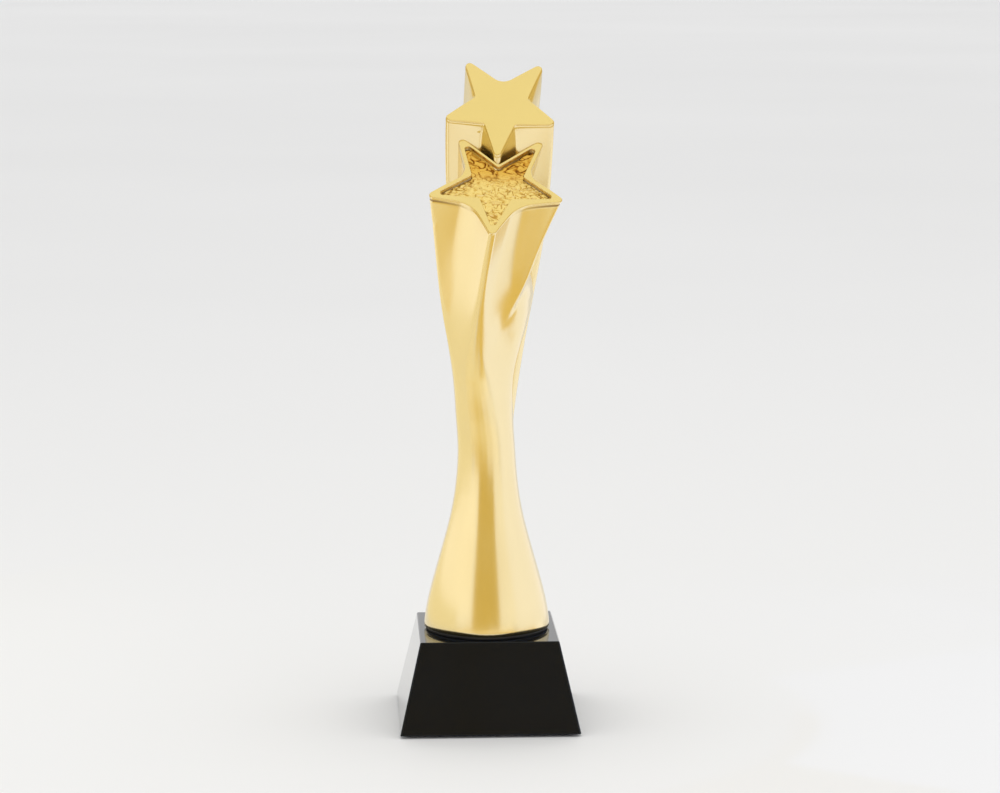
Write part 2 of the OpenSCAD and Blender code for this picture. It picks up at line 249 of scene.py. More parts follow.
# %% The front pillar
HEAD_LEAN = tan(radians(2.3))
STAR_SPIN = radians(3)
FRONT_R = 30.6 * MM
FRONT_SWELL = 2
FRONT_LEN = 119 * MM
FRONT_TILT = radians(42)
FRONT_REACH = 8.5 * MM
REACH_POWER = 1.5
FRONT_SWAY = 5 * MM
STAR_GROWTH = 0.75
FRONT_FILL = 0.2
RIDGE_DRAW = 0.33
DRAW_END = 0.76
DRAW_FOCUS = 3
ARM_FOCUS = 4
RIGHT_ARM = FRONT_ARM + ARM_STEP


def front_centre(share):
    """The middle of the front pillar, which sways and reaches forward as it rises."""
    sway = share * FRONT_LEN * HEAD_LEAN - FRONT_SWAY * sin(pi * share)
    return Vector((sway, -FRONT_REACH * share**REACH_POWER, WAIST_Z + share * FRONT_LEN))


def front_ring(share, cut=0.0):
    """A section of the front pillar between the waist, at 0, and its star, at 1. A cut draws in
    its side arms by a share of their reach."""
    radius = mix(WAIST_R, FRONT_R, share**FRONT_SWELL)
    draw = RIDGE_DRAW * sin(pi * share / DRAW_END) ** DRAW_FOCUS if share < DRAW_END else 0
    outline = section(front_outline(radius), radius, share**STAR_GROWTH, FRONT_FILL)
    outline = [p * (1 - cut * cos(bearing(p)) ** ARM_FOCUS) for p in outline]
    outline = drawn_in(outline, RIGHT_ARM, draw)
    turn = ease(0, 1, share)
    return laid(outline, front_centre(share), FRONT_TILT * turn, STAR_SPIN * turn)


def front_face_ring(outline, inset, depth):
    """A ring on the front star's face, moved in from its edge and down into it."""
    scale = inset_scale(FRONT_R, inset)
    return laid([p * scale for p in outline], front_centre(1), FRONT_TILT, STAR_SPIN, depth)


print("middle of the front star in mm:", in_mm(front_centre(1)))

# %% [markdown]
# ## The rear pillar
#
# The taller star stands behind, with its lower arm just clear of the notch between the front
# star's two upper arms. Its place could be measured by itself, but the two would part as soon as a
# size changes. So it follows from the front star: the depth of the notch, the tilts and a small gap
# say how far back it stands. Most of the star shows all the way up, and a short lip below the face
# gives the rest.

# %% Place and sizes of the rear pillar
REAR_R = 26 * MM
REAR_SWELL = 1.5
REAR_LEN = 151 * MM
REAR_TILT = radians(54)
REAR_STRETCH = 1.02
REAR_FLARE = 0.1
REAR_NOTCH = 0.38
REAR_NOTCH_ROUND = 6 * MM
REAR_STAR_SHARE = 0.88
LIP_POWER = 50
NOTCH_GAP = 1.6 * MM
NOTCH_FILL = CRISP_VALLEY * (1 / sin(flank_angle(FRONT_NOTCH)) - 1)
NOTCH_R = (FRONT_R + TIP_CUT) * FRONT_NOTCH + NOTCH_FILL
REAR_TIP = REAR_R * REAR_STRETCH * cos(REAR_TILT)
REAR_REACH = NOTCH_R * cos(FRONT_TILT) - FRONT_REACH + REAR_TIP + NOTCH_GAP


def rear_centre(share):
    """The middle of the rear pillar, which leans and steps back as it rises."""
    lean, step_back = share * REAR_LEN * HEAD_LEAN, share * (2 - share)
    return Vector((lean, REAR_REACH * step_back, WAIST_Z + share * REAR_LEN))


def rear_outline(radius):
    """The rear star, with its softer notch at the back."""
    return star_outline(radius, CRISP_VALLEY, REAR_NOTCH, REAR_NOTCH_ROUND)


def rear_star_share(share):
    """How much of the star shows: most of it all the way up, the rest in the lip."""
    return mix(share**LIP_POWER, share**STAR_GROWTH, REAR_STAR_SHARE)


print("rear star stands back by", round(REAR_REACH / MM, 1), "mm")

# %% Sections of the rear pillar
REAR_TWIST = radians(7)
TWIST_START = 0.6
REAR_HIDDEN = 2 * MM
HIDDEN_DRAW = 0.45
HIDDEN_START, HIDDEN_END = 0.3, 0.62


def rear_ring(share):
    """A section of the rear pillar between its hidden tail, at 0, and its star, at 1."""
    radius = mix(WAIST_R - REAR_HIDDEN, REAR_R, sin(pi / 2 * share) ** REAR_SWELL)
    outline = section(rear_outline(radius), radius, rear_star_share(share))
    draw = HIDDEN_DRAW * (1 - ease(HIDDEN_START, HIDDEN_END, share))
    spin = STAR_SPIN - REAR_TWIST * (1 - ease(TWIST_START, 1, share))
    turn = ease(0, 1, share)
    outline = flared(drawn_in(outline, FRONT_ARM, draw), radius, REAR_FLARE * turn)
    stretch = mix(1, REAR_STRETCH, turn)
    return laid(outline, rear_centre(share), REAR_TILT * turn, spin, 0, stretch)


def rear_face_ring(inset, depth):
    """A ring on the rear star's face, moved in from its edge and down into it."""
    scale = inset_scale(REAR_R, inset)
    outline = flared([p * scale for p in rear_outline(REAR_R)], REAR_R, REAR_FLARE)
    return laid(outline, rear_centre(1), REAR_TILT, STAR_SPIN, depth, REAR_STRETCH)


print("middle of the rear star in mm:", in_mm(rear_centre(1)))

# %% [markdown]
# ## Rolling a grid into a casting
#
# A loft can be made by bridging ring after ring. Here a flat grid is rolled up instead, as a sheet
# of paper is rolled into a tube: each row of the grid becomes one section, the two long edges are
# welded, and the open ends are filled. One operator makes all the quads, in a known order, and
# every point keeps its seat number, so that a ring can be found again later.

# %% Roll a grid round a list of rings
WELD = 0.00001 * MM


def rolled(rings, fill_ends=True, painted_shade=None):
    """A bmesh tube through the rings. Its two ends are flat faces, kept crisp. Some rows can be
    given a list of shares, one for each point, by which the finish paints shade on them."""
    around = len(rings[0])
    bm = bmesh.new()
    layer = bm.verts.layers.float.new("painted_shade")
    seat = bm.verts.layers.int.new("seat")
    bmesh.ops.create_grid(bm, x_segments=around, y_segments=len(rings) - 1, size=1)
    bm.verts.ensure_lookup_table()
    for v in bm.verts:
        row, column = divmod(v.index, around + 1)
        v.co = rings[row][column % around]
        v[layer] = painted_shade[row][column % around] if painted_shade and row in painted_shade else 0.0
        v[seat] = row * around + column % around
    bmesh.ops.remove_doubles(bm, verts=bm.verts, dist=WELD)
    for face in bm.faces:
        face.smooth = True
    if fill_ends:
        open_edges = [e for e in bm.edges if e.is_boundary]
        bmesh.ops.holes_fill(bm, edges=open_edges, sides=0)
    bmesh.ops.recalc_face_normals(bm, faces=bm.faces)
    return bm


print(f"points within {WELD / MM:.5f} mm are welded")

# %% Turn the figure, and make a mesh a piece
FIGURE_SPIN = Matrix.Rotation(FIGURE_TURN, 3, "Z")


def turned(bm):
    """The whole figure is turned a little on its block."""
    bmesh.ops.rotate(bm, verts=bm.verts, cent=(0, 0, 0), matrix=FIGURE_SPIN)
    return bm


def in_scene(name, bm):
    """Makes the bmesh an object of the scene."""
    mesh = bpy.data.meshes.new(name)
    bm.to_mesh(mesh)
    bm.free()
    obj = bpy.data.objects.new(name, mesh)
    bpy.context.scene.collection.objects.link(obj)
    return obj


def piece(name, bm, slot, *nodes):
    """Makes the bmesh an object that rides on the body and stands for its solids."""
    obj = in_scene(name, bm)
    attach(obj, "root")
    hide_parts(*nodes)
    print(name, len(obj.data.polygons), "faces")
    return obj


print("the figure is turned by", round(degrees(FIGURE_TURN)), "degrees")

# %% [markdown]
# ## The castings
#
# The face of each star meets its walls in a small polished round, which catches the thin bright
# line along the edges. The front star also has a rim round a sunk field, and a shallow groove under
# the rim. A bevel would have to find those edges first. All of it is one run of rings instead,
# from the foot up over the rim and down into the recess. The rear star is plain and needs only its
# round.

# %% Rounded edges of a star face
EDGE_ROUND = 0.6 * MM
FACE_START = 1.6 * EDGE_ROUND
ROUND_STEPS = 4
QUARTER = [pi / 2 * k / ROUND_STEPS for k in range(ROUND_STEPS + 1)]


def outer_round(radius=EDGE_ROUND):
    """(inset, depth) pairs from a wall up to the face it meets."""
    return [(radius * (1 - cos(a)), radius * (1 - sin(a))) for a in QUARTER]


def inner_round(start, radius):
    """(inset, depth) pairs from the face down into a recess that starts there."""
    return [(start - radius * (1 - sin(a)), radius * (1 - cos(a))) for a in QUARTER]


print("rings in an edge's round:", len(outer_round()))

# %% Front casting
FOOT_RINGS = 44
PILLAR_RINGS = 84
RIM_W = 2 * MM
RIM_ROUND = 0.35 * MM
RECESS_DEPTH = 3 * MM
GROOVE_CUT = 0.008
GROOVE = ((2.3 * MM, 0), (1.9 * MM, GROOVE_CUT), (1.3 * MM, GROOVE_CUT), (FACE_START, 0))

rim_outline = section(front_outline(FRONT_R), FRONT_R, 1, FRONT_FILL)
field_outline = front_outline(FRONT_R, CRISP_VALLEY)
column_rings = [foot_ring(k / FOOT_RINGS) for k in range(FOOT_RINGS)]
column_rings += [front_ring(k / PILLAR_RINGS) for k in range(PILLAR_RINGS - 1)]
groove_row = len(column_rings) + 1
column_rings += [front_ring(1 - below / FRONT_LEN, cut) for below, cut in GROOVE]
column_rings += [front_face_ring(rim_outline, *at) for at in outer_round()]
column_rings += [front_face_ring(field_outline, *at) for at in inner_round(RIM_W, RIM_ROUND)]
column_rings += [front_face_ring(field_outline, RIM_W, RECESS_DEPTH)]
# Painted shade: the groove under the side arms' rim and the foot of the recess walls are marked to
# be darkened, where shadow lines fall.
side_arms = [cos(bearing(p)) ** ARM_FOCUS for p in rim_outline]
painted_shade_rows = {groove_row: side_arms, groove_row + 1: side_arms}
painted_shade_rows[len(column_rings) - 1] = [1.0] * len(rim_outline)
column = turned(rolled(column_rings, painted_shade=painted_shade_rows))
print("front casting:", len(column_rings), "rings of", len(rim_outline), "points")

# %% Rear casting
REAR_RINGS = 90
REAR_LAST = 1 - FACE_START / REAR_LEN
RING_CROWD = 1.5

rear_steps = [1 - (1 - k / REAR_RINGS) ** RING_CROWD for k in range(REAR_RINGS + 1)]
rear_rings = [rear_ring(REAR_LAST * step) for step in rear_steps]
rear_rings += [rear_face_ring(*at) for at in outer_round()]
rear = turned(rolled(rear_rings))
print("rear casting:", len(rear_rings), "rings")

# %% [markdown]
# ## Melting the pillars together
#
# On the real casting no line shows where the rear pillar leaves the front one low down: the crease
# only opens half-way up. A fillet along such a long, uneven seam is hard to steer, so a film is
# stretched over it instead, like the skin of a soap bubble. From a line inside both pillars each
# point of the front casting looks outwards. Where the rear pillar or a straight line across the
# crease reaches further, the point moves out to it, and the film is calmed. Higher up the film
# fades, and the crease opens by itself. Behind, it slips under the rear pillar, which keeps its own
# back.

# %% Look out from between the pillars
front_tree, rear_tree = BVHTree.FromBMesh(column), BVHTree.FromBMesh(rear)
REAR = 1


def between_pillars(z):
    """A point that lies inside both pillars at that height."""
    above = max(0.0, z - WAIST_Z)
    middle = (front_centre(above / FRONT_LEN) + rear_centre(above / REAR_LEN)) / 2
    return FIGURE_SPIN @ Vector((middle.x, middle.y, z))


def look_out(middle, angle):
    """How far the outermost pillar reaches in that direction, and which one it is."""
    reaches = []
    for tree in (front_tree, rear_tree):
        distance = tree.ray_cast(middle, ray(angle).to_3d())[3]
        reaches.append(distance or 0.0)
    return max(reaches), reaches.index(max(reaches))


print("between the pillars at the waist, in mm:", in_mm(between_pillars(WAIST_Z)))

# %% Bridge the crease
LOOK_STEP = radians(4)
LOOKS = 13


def filled_reach(middle, angle):
    """The reach in that direction once the crease between the pillars is bridged by chords, and
    how far off the crease is."""
    best, owner = look_out(middle, angle)
    turns = [k * LOOK_STEP for k in range(1, LOOKS + 1)]
    before = [(turn, *look_out(middle, angle - turn)) for turn in turns]
    after = [(turn, *look_out(middle, angle + turn)) for turn in turns]
    for left, left_reach, left_owner in before:
        for right, right_reach, right_owner in after:
            if left_owner != right_owner:
                across = sin(left) / right_reach + sin(right) / left_reach
                best = max(best, sin(left + right) / across)
    return best, min([look[0] for look in before + after if look[2] != owner], default=pi)


print("each point looks", round(degrees(LOOKS * LOOK_STEP)), "degrees to both sides")

# %% Measure how far the film reaches
MELT_FROM, MELT_TO = 118 * MM, 226 * MM
COVER, UNDER = 0.1 * MM, 0.25 * MM
BACK_FROM, BACK_TO = 135 * MM, 160 * MM
SPREAD_RIGHT = radians(30), radians(56)
SPREAD_LEFT = radians(8), radians(26)
CALM_SHARE = 0.7

near = [v for v in column.verts if MELT_FROM < v.co.z < MELT_TO]
middles, least, reach, calming, behind = {}, {}, {}, {}, {}
for v in near:
    middles[v] = between_pillars(v.co.z)
    away = v.co - middles[v]
    outermost, owner = look_out(middles[v], bearing(away))
    filled, crease_off = filled_reach(middles[v], bearing(away))
    far_off = ease(*(SPREAD_RIGHT if away.x > 0 else SPREAD_LEFT), crease_off)
    calming[v] = CALM_SHARE * (1 - far_off)
    behind[v] = far_off * ease(BACK_FROM, BACK_TO, v.co.z) if owner == REAR else 0.0
    cover = mix(COVER, -UNDER, behind[v])
    least[v] = max(away.length, outermost + cover) if owner == REAR else away.length
    reach[v] = least[v] + filled - outermost
film = [v for v in near if reach[v] > (v.co - middles[v]).length + COVER]
print("points of the film:", len(film))

# %% Calm the film, and move the points out to it
SMOOTH_ROUNDS = 60
MELT_RISE = 24 * MM
FADE_FROM = 192 * MM

for _ in range(SMOOTH_ROUNDS):
    calmer = {}
    for v in film:
        nearby = [reach[w] for w in (e.other_vert(v) for e in v.link_edges) if w in reach]
        calmer[v] = max(least[v], mix(reach[v], sum(nearby) / len(nearby), calming[v]))
    reach.update(calmer)
moves = []
for v in film:
    away = v.co - middles[v]
    fade = 1 - ease(FADE_FROM, MELT_TO, v.co.z)
    share = ease(MELT_FROM, MELT_FROM + MELT_RISE, v.co.z) * fade
    moves.append(share * (reach[v] - away.length))
    v.co = middles[v] + away.normalized() * mix(away.length, reach[v], share)
print("the film moves points out by up to", round(max(moves) / MM, 1), "mm")

# %% Calm the two ends of the film
HIGH_ROUNDS = 30
WAIST_ROUNDS = 50
BAND_LOW, BAND_HIGH = 100 * MM, 176 * MM
LOW_STEP, HIGH_STEP = 0.3 * MM, 0.6 * MM


def calm(verts):
    """One round of smoothing over some points of the front casting."""
    axes = {"use_axis_x": True, "use_axis_y": True, "use_axis_z": True}
    bmesh.ops.smooth_vert(column, verts=verts, factor=0.5, **axes)


high_film = [v for v in film if v.co.z > FADE_FROM and calming[v] > 0]
for _ in range(HIGH_ROUNDS):
    calm(high_film)
for k in range(WAIST_ROUNDS):
    low, high = BAND_LOW + k * LOW_STEP, BAND_HIGH - k * HIGH_STEP
    calm([v for v in column.verts if low < v.co.z < high])
print("points calmed at the top:", len(high_film))

# %% [markdown]
# ## Polishing the ridges away
#
# On the real casting the star's ridges are sharp under the face and fade towards the waist, as if
# a polishing wheel had gone over them. A smoothing operator would take the same from every point
# and leave a crease where it stops. So each ring is averaged along its own length under a bell
# curve, the wider the lower it lies, and then grown back, because averaging shrinks it.

# %% Average a ring along its length
SHARP_ABOVE, SOFT_BELOW = 206 * MM, 155 * MM
FOOT_TOP, FOOT_BLEND = 70 * MM, 40 * MM
SOFT_WIDTH = 6 * MM
SOFT_POWER = 1.5
LEAST_WIDTH = 0.05 * MM
BELL_REACH = 3


def soft_width(z):
    """How far along its ring a point at that height is averaged."""
    drop = min(1.0, max(0.0, (SHARP_ABOVE - z) / (SHARP_ABOVE - SOFT_BELOW)))
    return SOFT_WIDTH * drop**SOFT_POWER * ease(FOOT_TOP, FOOT_TOP + FOOT_BLEND, z)


def softened(ring, widths):
    """Each point of a closed ring becomes the mean of its neighbours under a bell curve."""
    count = len(ring)
    steps = [(ring[(k + 1) % count] - ring[k]).length for k in range(count)]
    spans = [(steps[k - 1] + steps[k]) / 2 for k in range(count)]
    means = []
    for k, (p, width) in enumerate(zip(ring, widths)):
        total, weight = p * spans[k], spans[k]
        for side in (1, -1):
            gone, j = 0.0, k
            while width > LEAST_WIDTH and gone < BELL_REACH * width:
                gone += steps[j if side == 1 else j - 1]
                j = (j + side) % count
                bell = spans[j] * exp(-((gone / width) ** 2) / 2)
                total, weight = total + ring[j] * bell, weight + bell
        means.append(total / weight)
    return means


print("a ring at the waist is averaged over", round(soft_width(WAIST_Z) / MM, 1), "mm")

# %% Polish ring after ring
around = len(rim_outline)
seat = column.verts.layers.int["seat"]
by_seat = {v[seat]: v for v in column.verts}
polished = 0
for row in range(len(column_rings)):
    verts = [by_seat[row * around + k] for k in range(around)]
    ring = [v.co.copy() for v in verts]
    widths = [soft_width(v.co.z) * (1 - behind.get(v, 0.0)) for v in verts]
    if max(widths) < LEAST_WIDTH:
        continue
    calmed = softened(ring, widths)
    middle = sum(ring, Vector()) / around
    radius = sum((p - middle).length for p in ring) / around
    calm_radius = sum((p - middle).length for p in calmed) / around
    for v, p, width in zip(verts, calmed, widths):
        grow = 1 + (radius / calm_radius - 1) * width / SOFT_WIDTH
        v.co = middle + (p - middle) * grow
    polished += 1
print("rings polished:", polished)

front_casting = piece("front_casting", column, "gold_plate", "star_column")
rear_casting = piece("rear_casting", rear, "gold_plate", "rear_star_column")

# %% [markdown]
# ## The pressed panel
#
# The field of the front star is a thin gilt pressing with a hammered, bark-like grain. One arm of
# a star is a kite, so one kite is divided into fine squares and spun round the centre into five. A
# bump map could draw the grain, but here it is real relief, pressed into the sheet by layered
# noise, so that it also shows at a slant. Each point remembers how deep in a cut it lies, and the
# finish can darken the hollows.

# %% One kite, spun into a star
PANEL_GAP = 0.15 * MM
PANEL_T = 1 * MM
PANEL_WELD = 0.001 * MM
KITE_CUTS = 89

panel_scale = inset_scale(FRONT_R, RIM_W + PANEL_GAP)
sharp_r = (FRONT_R + TIP_CUT) * panel_scale
kite_corners = [
    Vector((0, 0)),
    ray(FRONT_ARM - HALF_STEP, sharp_r * VALLEY_RATIO),
    ray(FRONT_ARM, sharp_r),
    ray(FRONT_ARM + HALF_STEP, sharp_r * VALLEY_RATIO),
]
panel = bmesh.new()
panel.faces.new([panel.verts.new(c.to_3d()) for c in kite_corners])
bmesh.ops.subdivide_edges(panel, edges=panel.edges, cuts=KITE_CUTS, use_grid_fill=True)
bmesh.ops.spin(
    panel,
    geom=panel.verts[:] + panel.edges[:] + panel.faces[:],
    cent=(0, 0, 0),
    axis=(0, 0, 1),
    angle=ARM_STEP * (ARMS - 1),
    steps=ARMS - 1,
    use_duplicate=True,
)
bmesh.ops.remove_doubles(panel, verts=panel.verts, dist=PANEL_WELD)
print("panel quads:", len(panel.faces))

# %% Round the tips as the recess is rounded


def round_tip(p):
    """Pulls a point of the sharp star in, so that its tips have the recess's own round."""
    turn = (bearing(p) - FRONT_ARM + HALF_STEP) % ARM_STEP - HALF_STEP
    along, off = p.length * cos(turn), p.length * sin(turn)
    tip_r = TIP_ROUND * panel_scale
    centre = sharp_r - tip_r / sin(TIP_HALF_ANGLE)
    start = centre + tip_r * sin(TIP_HALF_ANGLE)
    if along <= start:
        return p
    half_width = (sharp_r - along) * tan(TIP_HALF_ANGLE)
    share = 0 if half_width < WELD else off / half_width
    drop = (along - start) / (sharp_r - start)
    new_along = start + (centre + tip_r - start) * drop
    room = max(0.0, tip_r * tip_r - (new_along - centre) ** 2) ** 0.5
    axis = bearing(p) - turn
    return ray(axis, new_along) + ray(axis + pi / 2, share * room)


def deepen_notch(p):
    """Draws the valley at the back in towards the centre, as the recess has it there."""
    along, off = p.y, abs(p.x)
    edge_on = off / tan(HALF_STEP)
    if along <= edge_on:
        return p
    return Vector((p.x, mix(edge_on, along, FRONT_NOTCH / VALLEY_RATIO)))


for v in panel.verts:
    v.co = deepen_notch(round_tip(v.co.to_2d())).to_3d()
print("panel reaches", round(max(v.co.length for v in panel.verts) / MM, 1), "mm out")

# %% Dents and cuts of the hammer
GRAIN_ACROSS, GRAIN_ALONG = 2.3 * MM, 1.5 * MM
SLICE = 0.3
CUT_WIDTH = 0.2
WARP = 0.9
WARP_SCALE, DENT_SCALE, GAP_SCALE = 0.7, 1.3, 0.9
WARP_SHIFT, DENT_SHIFT, GAP_SHIFT = Vector((5, 1, 2)), Vector((9, 4, 7)), Vector((3, 8, 1))
GAP_FROM, GAP_TO = -0.4, 0.05


def cut(p):
    """How near a point is to a chisel cut: 1 in its middle, 0 beside it."""
    return 1 - ease(0, CUT_WIDTH, abs(noise.noise(p)))


def hammered(p, size):
    """The dents of the hammer, and the wavy cuts between them."""
    q = Vector((p.x / GRAIN_ACROSS, p.y / GRAIN_ALONG, SLICE)) / size
    wave = noise.noise(q * WARP_SCALE + WARP_SHIFT), noise.noise(q * WARP_SCALE)
    q += WARP * Vector((*wave, 0))
    dents = noise.noise(q * DENT_SCALE + DENT_SHIFT)
    gaps = ease(GAP_FROM, GAP_TO, noise.noise(q * GAP_SCALE + GAP_SHIFT))
    return dents, cut(q) * gaps


print("dent and cut at the centre:", [round(share, 2) for share in hammered(Vector(), 1.0)])

# %% Hammer the panel
GRAIN_HEIGHT = 0.5 * MM
GRAIN_SUNK = 0.6
CUT_DEPTH = 0.35 * MM
UPPER_FROM, UPPER_TO = -2 * MM, 9 * MM
UPPER_SIZE = 1.5

grain = panel.verts.layers.float.new("grain")
upper = panel.verts.layers.float.new("upper")
for v in panel.verts:
    # The upper share gives the upper arms a larger grain, and the finish paints reflection and
    # shade on them.
    v[upper] = ease(UPPER_FROM, UPPER_TO, v.co.y)
    fine, large = hammered(v.co, 1.0), hammered(v.co, UPPER_SIZE)
    dents, cuts = (mix(a, b, v[upper]) for a, b in zip(fine, large))
    v[grain] = cuts
    v.co.z = GRAIN_HEIGHT * (dents - GRAIN_SUNK) - CUT_DEPTH * cuts
for face in panel.faces:
    face.smooth = True
heights = [v.co.z / MM for v in panel.verts]
print("grain from", round(min(heights), 2), "to", round(max(heights), 2), "mm")

# %% Thickness and place
rim_edges = [e for e in panel.edges if e.is_boundary]
skirt = bmesh.ops.extrude_edge_only(panel, edges=rim_edges)["geom"]
for v in (g for g in skirt if isinstance(g, bmesh.types.BMVert)):
    v.co.z = -PANEL_T
bmesh.ops.holes_fill(panel, edges=[e for e in panel.edges if e.is_boundary], sides=0)
bmesh.ops.recalc_face_normals(panel, faces=panel.faces)
seating = Matrix.Translation(front_centre(1)) @ Matrix.Rotation(FRONT_TILT, 4, "X")
seating = seating @ Matrix.Rotation(-STAR_SPIN, 4, "Z")
seating = seating @ Matrix.Translation((0, 0, PANEL_T - RECESS_DEPTH))
bmesh.ops.transform(panel, verts=panel.verts, matrix=seating)
hammered_panel = piece("hammered_panel", turned(panel), "hammered_gold", "star_panel")

# %% [markdown]
# ## Gasket
#
# A thin rubber gasket lies between the foot and the crystal, and shows as a dark line. The stud
# pulls the foot down on it, so its edge bulges. A disc with a bevelled edge would come close, but
# rolled rings already follow the foot's own outline, and a few more of them make the bulge and the
# hole for the stud.

# %% Squeezed gasket
GASKET_INSET = 0.8 * MM
GASKET_BULGE = 0.35 * MM
GASKET_HOLE_R = 5.5 * MM
BULGE_STEPS = 6
gasket_low, gasket_high = (corner.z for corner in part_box("foot_gasket"))


def gasket_ring(radius, height):
    """The foot's outline at a radius and a height."""
    return laid(section(front_outline(FOOT_R), radius, 0), Vector((0, 0, height)), 0)


gasket_rings = [gasket_ring(GASKET_HOLE_R, gasket_low)]
for k in range(BULGE_STEPS + 1):
    share = k / BULGE_STEPS
    radius = FOOT_R - GASKET_INSET - GASKET_BULGE * (1 - sin(pi * share))
    gasket_rings.append(gasket_ring(radius, mix(gasket_low, gasket_high, share)))
gasket_rings += [gasket_ring(GASKET_HOLE_R, height) for height in (gasket_high, gasket_low)]
gasket_tube = turned(rolled(gasket_rings, fill_ends=False))
gasket = piece("gasket", gasket_tube, "black_rubber", "foot_gasket")

# %% [markdown]
# ## Felt
#
# A sheet of felt is glued under the block, so that the crystal doesn't scratch the table. A thin
# box would be the quick way, but cut felt has round corners and a soft lower edge, so it is rolled
# from rings as well. It lies flat, at the size of the solid it stands for.

# %% Felt sheet
FELT_ROUND = 0.4 * MM
FELT_CORNER = 4 * MM
felt_low, felt_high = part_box("base_pad")
felt_side = felt_high.x - felt_low.x
corner_reach = (felt_side / 2 - FELT_CORNER) * 2**0.5


def felt_ring(inset, height):
    """The outline of the cut sheet, moved in from its edge, at one height."""
    ring = []
    for corner in range(4):
        axis = pi / 4 + corner * pi / 2
        ring += arc(corner_reach, axis, FELT_CORNER - inset, -pi / 4, pi / 4)
    return [p.to_3d() + Vector((0, 0, height)) for p in ring]


felt_edge = outer_round(FELT_ROUND)
felt_rings = [felt_ring(inset, felt_low.z + depth) for depth, inset in felt_edge]
felt_rings += [felt_ring(0, felt_high.z)]
felt_sheet = piece("felt_sheet", rolled(felt_rings), "felt", "base_pad")
print("felt sheet:", round(felt_side / MM), "mm square")

# %% [markdown]
# ## Finishes
#
# Eight finishes cover the trophy. Each could be a single colour, but no real surface is: its tone
# and its gloss drift. So each is a small net of nodes, with noise laid in the object's own space:
# nothing slides, and no picture is needed. What is the same all over a surface is set on the shader
# itself. A few helpers take up what the finishes share.

# %% A new finish


def finish(name):
    """A new material with its shader, a node maker that links as it goes, and a wire to the
    shader."""
    material = bpy.data.materials.new(name)
    material.use_nodes = True
    tree = material.node_tree
    shader = tree.nodes["Principled BSDF"]

    def node(kind, inputs=None, **settings):
        made = tree.nodes.new("ShaderNode" + kind)
        for key, value in settings.items():
            setattr(made, key, value)
        for key, value in (inputs or {}).items():
            if isinstance(value, bpy.types.NodeSocket):
                tree.links.new(value, made.inputs[key])
            else:
                made.inputs[key].default_value = value
        return made

    def wire(source, socket):
        tree.links.new(source, shader.inputs[socket])

    print("finish:", name)
    return material, shader, node, wire


# %% What the finishes share


def mottle(node, scale, detail, **more):
    """Noise that lies in the object's own space."""
    place = node("TexCoord").outputs["Object"]
    inputs = {"Vector": place, "Scale": scale, "Detail": detail, **more}
    return node("TexNoise", inputs).outputs["Fac"]


def ramp(node, factor, stops):
    """A colour that runs through the stops."""
    made = node("ValToRGB", {"Fac": factor})
    while len(made.color_ramp.elements) < len(stops):
        made.color_ramp.elements.new(0.5)
    for element, (position, colour) in zip(made.color_ramp.elements, stops):
        element.position = position
        element.color = (*colour, 1)
    return made.outputs["Color"]


def vary_gloss(node, wire, factor, low, high):
    """Lets the roughness drift between two values."""
    made = node("MapRange", {"Value": factor, "To Min": low, "To Max": high})
    wire(made.outputs["Result"], "Roughness")


def raise_grain(node, wire, height, strength, distance):
    """Fine relief that the light sees and the mesh doesn't need."""
    made = node("Bump", {"Height": height, "Strength": strength, "Distance": distance})
    wire(made.outputs["Normal"], "Normal")


# %% [markdown]
# ### The two golds
#
# The casting is resin under a thin, polished plate of pale gold. Gold paint would be a yellow
# gloss. Plate is a true metal, so its colour is in its reflections. A faint peel breaks the mirror.
# A dark line of painted shade lies in the groove under the side arms' rim, and the recess walls
# darken towards the floor, where shadow lines fall. The panel is darker in its cuts: the ramp reads
# the relief itself. Its upper arms are deeper in tone, a painted reflection and shade of the rear
# pillar.

# %% Gold plate
gold_plate, shader, node, wire = finish("gold_plate")
cloud = mottle(node, 40, 4)
plate = ramp(node, cloud, [(0.3, (0.80, 0.655, 0.35)), (0.7, (0.82, 0.675, 0.37))])
# Painted shade: the marked rows are darkened to a deep brown, as the shadow lines under the rim and
# in the recess.
painted_shade_lines = node("Attribute", attribute_name="painted_shade").outputs["Fac"]
plate_with_painted_shade = node("MixRGB", {"Fac": painted_shade_lines, "Color1": plate, "Color2": (0.16, 0.07, 0.02, 1)})
wire(plate_with_painted_shade.outputs["Color"], "Base Color")
vary_gloss(node, wire, cloud, 0.19, 0.25)
raise_grain(node, wire, mottle(node, 900, 2), 0.04, 0.0002)
shader.inputs["Metallic"].default_value = 1
shader.inputs["Coat Weight"].default_value = 0.4
shader.inputs["Coat Roughness"].default_value = 0.15
for obj in (front_casting, rear_casting):
    obj.data.materials.append(gold_plate)

# %% Hammered gold
# The lower arms take the first ramp. The upper arms take the second, a deeper, more orange gold
# that is painted reflection and shade of the rear pillar above them. Both ramps grow darker in the
# cuts.
PALE_STOPS = [(0.0, (0.88, 0.71, 0.36)), (0.5, (0.80, 0.58, 0.22)), (1.0, (0.50, 0.29, 0.08))]
PAINTED_SHADE_STOPS = [(0.0, (0.78, 0.50, 0.13)), (0.4, (0.60, 0.30, 0.05)), (0.95, (0.20, 0.07, 0.01))]
hammered_gold, shader, node, wire = finish("hammered_gold")
in_cuts = node("Attribute", attribute_name="grain").outputs["Fac"]
